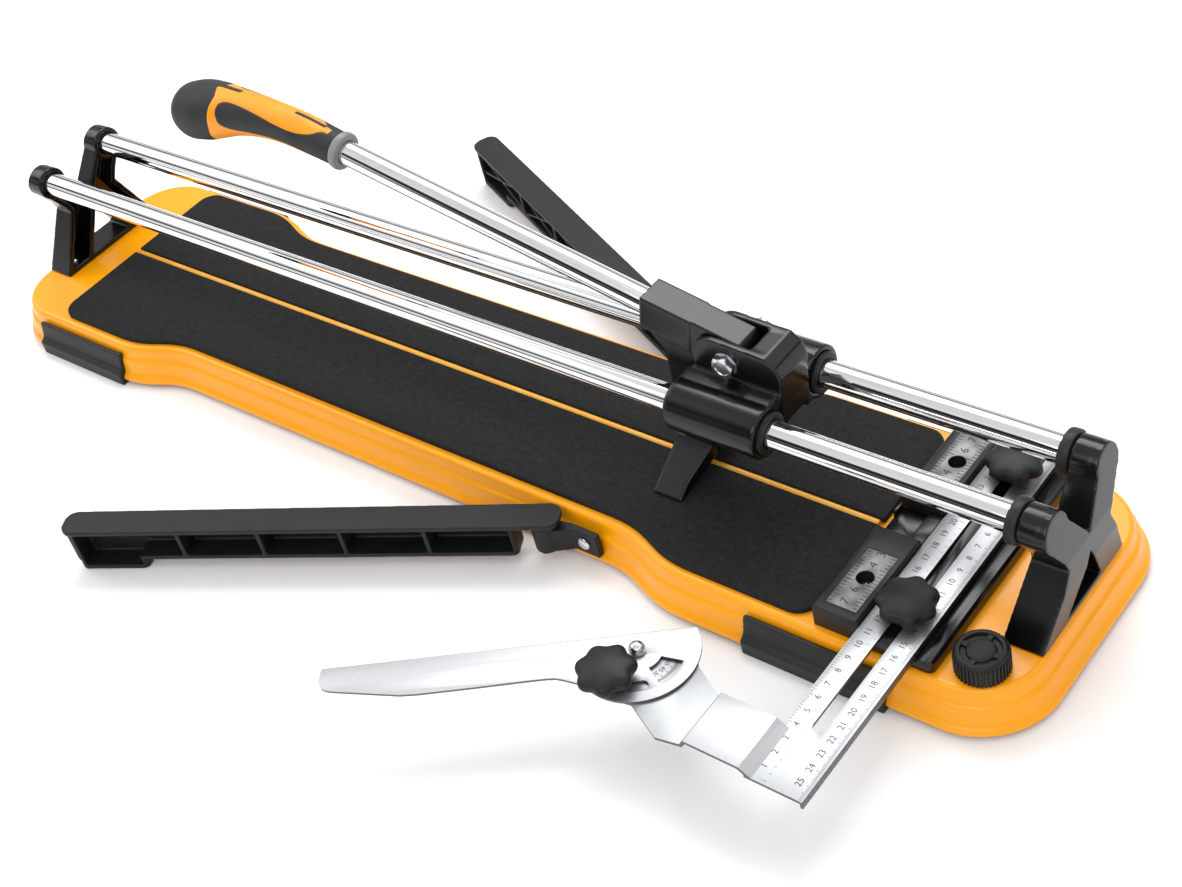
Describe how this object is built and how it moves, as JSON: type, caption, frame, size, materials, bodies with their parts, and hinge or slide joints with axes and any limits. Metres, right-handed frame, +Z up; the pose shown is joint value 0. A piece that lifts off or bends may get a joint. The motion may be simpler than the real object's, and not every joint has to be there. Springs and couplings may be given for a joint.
{
  "type": "tile cutter",
  "caption": "Manual rail tile cutter: waisted base with padded bed, chrome rails, sliding lever carriage with breaker foot, folding side arms, ruler fence and swivel angle fence.",
  "frame": {"origin": "on the top plane of the steel base, on the breaking line, midway between the outer faces of the two rail brackets; the bench is 30 mm below", "axes": "+X along the rails towards the fence, +Y away from the user, +Z up from the bench"},
  "size_m": [0.8526, 0.4809, 0.2193],
  "materials": {
    "orange_enamel": "baked gloss enamel on pressed steel",
    "black_enamel": "satin black powder coat on cast metal",
    "charcoal_enamel": "satin charcoal coat on cast metal",
    "black_plastic": "moulded glass-filled nylon with a fine spark texture",
    "pad_rubber": "dense foam rubber sheet with a cut skin",
    "black_rubber": "moulded rubber",
    "chrome": "polished hard chrome",
    "bright_steel": "bright zinc-plated sheet steel",
    "zinc_steel": "zinc-plated fasteners",
    "tool_steel": "ground tungsten carbide and tool steel",
    "scale_aluminium": "etched and printed scale plate",
    "grip_orange": "soft-touch orange grip material",
    "grip_black": "soft-touch black grip material",
    "ring_grey": "moulded grey collar"
  },
  "bodies": {
    "base": {"base_pan": "orange_enamel", "front_pad": "pad_rubber", "rear_pad": "pad_rubber", "breaking_strip": "orange_enamel", "front_left_clip": "black_rubber", "rear_left_clip": "black_rubber", "front_right_clip": "black_rubber", "rear_right_clip": "black_rubber", "left_bracket": "black_enamel", "right_bracket": "charcoal_enamel", "left_front_bracket_screw": "zinc_steel", "left_rear_bracket_screw": "zinc_steel", "right_front_bracket_screw": "zinc_steel", "right_rear_bracket_screw": "zinc_steel", "front_rail": "chrome", "rear_rail": "chrome", "front_stop_ring": "black_rubber", "rear_stop_ring": "black_rubber", "front_arm_lug": "black_plastic", "front_lug_screw": "zinc_steel", "rear_arm_lug": "black_plastic", "rear_lug_screw": "zinc_steel", "fence_bed": "black_enamel", "front_scale_block": "black_plastic", "front_scale_plate": "scale_aluminium", "front_block_screw": "zinc_steel", "rear_scale_block": "black_plastic", "rear_scale_plate": "scale_aluminium", "rear_block_screw": "zinc_steel", "centre_block": "black_enamel", "centre_stop_plate": "black_enamel", "front_stud": "zinc_steel", "rear_stud": "zinc_steel"},
    "carriage": {"carriage_body": "black_enamel", "front_left_bush": "black_plastic", "front_right_bush": "black_plastic", "rear_left_bush": "black_plastic", "rear_right_bush": "black_plastic", "pivot_bolt": "zinc_steel", "pivot_nut": "zinc_steel"},
    "lever": {"lever_head": "black_enamel", "lever_tube": "chrome", "grip_ring": "ring_grey", "grip_neck": "grip_black", "grip_core": "grip_orange", "grip_bulb": "grip_black", "breaker_foot": "black_enamel", "wheel_axle": "zinc_steel"},
    "wheel": {"cutting_wheel": "tool_steel"},
    "front_side_arm": {"front_arm": "black_plastic"},
    "rear_side_arm": {"rear_arm": "black_plastic"},
    "sliding_ruler": {"ruler": "bright_steel", "swivel_pin": "zinc_steel", "protractor_stud": "zinc_steel"},
    "angle_fence": {"protractor_blade": "bright_steel"},
    "front_clamp_knob": {"front_knob": "black_plastic"},
    "rear_clamp_knob": {"rear_knob": "black_plastic"},
    "angle_clamp_knob": {"protractor_knob": "black_plastic"},
    "cap": {"storage_cap": "black_plastic"}
  },
  "joints": [
    {"name": "carriage_slide", "type": "slide", "parent": "base", "child": "carriage", "axis": [1, 0, 0], "range_m": [-0.54, 0.108]},
    {"name": "lever_pivot", "type": "hinge", "parent": "carriage", "child": "lever", "pos_m": [0.214, 0, 0.1056], "axis": [0, 1, 0], "range_deg": [0, 36]},
    {"name": "wheel_spin", "type": "hinge", "parent": "lever", "child": "wheel", "pos_m": [0.208, 0, 0.029], "axis": [0, 1, 0], "continuous": true},
    {"name": "front_arm_pivot", "type": "hinge", "parent": "base", "child": "front_side_arm", "pos_m": [0.1085, -0.0855, -0.005], "axis": [0, 0, 1], "range_deg": [-25.5, 60]},
    {"name": "rear_arm_pivot", "type": "hinge", "parent": "base", "child": "rear_side_arm", "pos_m": [0.0985, 0.0855, -0.005], "axis": [0, 0, -1], "range_deg": [-23, 60]},
    {"name": "ruler_slide", "type": "slide", "parent": "base", "child": "sliding_ruler", "axis": [0, 1, 0], "range_m": [-0.006, 0.07]},
    {"name": "angle_fence_pivot", "type": "hinge", "parent": "sliding_ruler", "child": "angle_fence", "pos_m": [0.232, -0.1505, 0.0139], "axis": [0, 0, 1], "range_deg": [-44, 44]},
    {"name": "front_knob_turn", "type": "hinge", "parent": "base", "child": "front_clamp_knob", "pos_m": [0.3447, -0.059, 0.02], "axis": [0, 0, 1], "continuous": true},
    {"name": "rear_knob_turn", "type": "hinge", "parent": "base", "child": "rear_clamp_knob", "pos_m": [0.3447, 0.059, 0.02], "axis": [0, 0, 1], "continuous": true},
    {"name": "angle_knob_turn", "type": "hinge", "parent": "sliding_ruler", "child": "angle_clamp_knob", "pos_m": [0.22987, -0.17491, 0.02], "axis": [0, 0, 1], "continuous": true},
    {"name": "cap_turn", "type": "hinge", "parent": "base", "child": "cap", "pos_m": [0.3915, -0.0645, 0.005], "axis": [0, 0, 1], "continuous": true}
  ]
}
